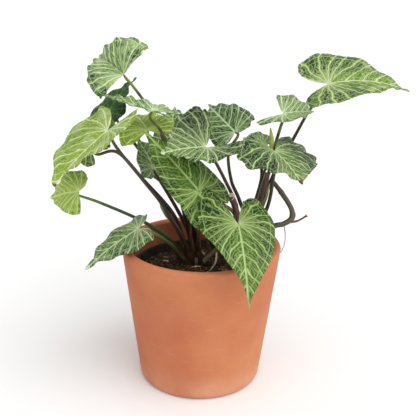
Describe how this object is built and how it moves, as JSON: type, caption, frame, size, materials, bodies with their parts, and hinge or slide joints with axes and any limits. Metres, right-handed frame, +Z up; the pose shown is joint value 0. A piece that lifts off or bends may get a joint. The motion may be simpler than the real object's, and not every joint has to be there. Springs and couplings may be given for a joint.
{
  "type": "arrowhead plant in pot",
  "caption": "Arrowhead plant with net-veined, arrow-shaped leaves on long petioles, in a nursery pot standing inside a plain tapered terracotta cover pot.",
  "frame": {"origin": "centre of the cover pot's base, on the surface it stands on", "axes": "+Z up along the pot's axis, -Y towards the plant's front as pictured, +X to the viewer's right"},
  "size_m": [0.3057, 0.1764, 0.2987],
  "materials": {
    "terracotta": "unglazed fired clay, matt",
    "nursery_plastic": "thin black moulded plastic, satin",
    "soil": "coarse peat and bark mix, matt",
    "petiole": "dark brown to olive plant stem, satin",
    "leaf": "green leaf blade with a pale vein net, satin"
  },
  "bodies": {
    "root": {"terracotta_pot": "terracotta", "nursery_pot": "nursery_plastic", "potting_soil": "soil", "shoot_left": "petiole", "shoot_back": "petiole", "shoot_right": "petiole", "leaf_top_left": "leaf", "leaf_left_back": "leaf", "leaf_left_large": "leaf", "leaf_left_inner": "leaf", "leaf_edge_on": "leaf", "leaf_back_dark": "leaf", "leaf_left_under": "leaf", "leaf_centre_under": "leaf", "leaf_centre_front": "leaf", "leaf_centre_back": "leaf", "leaf_right_back": "leaf", "leaf_right_large": "leaf", "leaf_right_small": "leaf", "leaf_top_right": "leaf", "leaf_centre_low": "leaf", "leaf_front_large": "leaf", "leaf_rim_left": "leaf", "leaf_far_left": "leaf"}
  },
  "joints": []
}
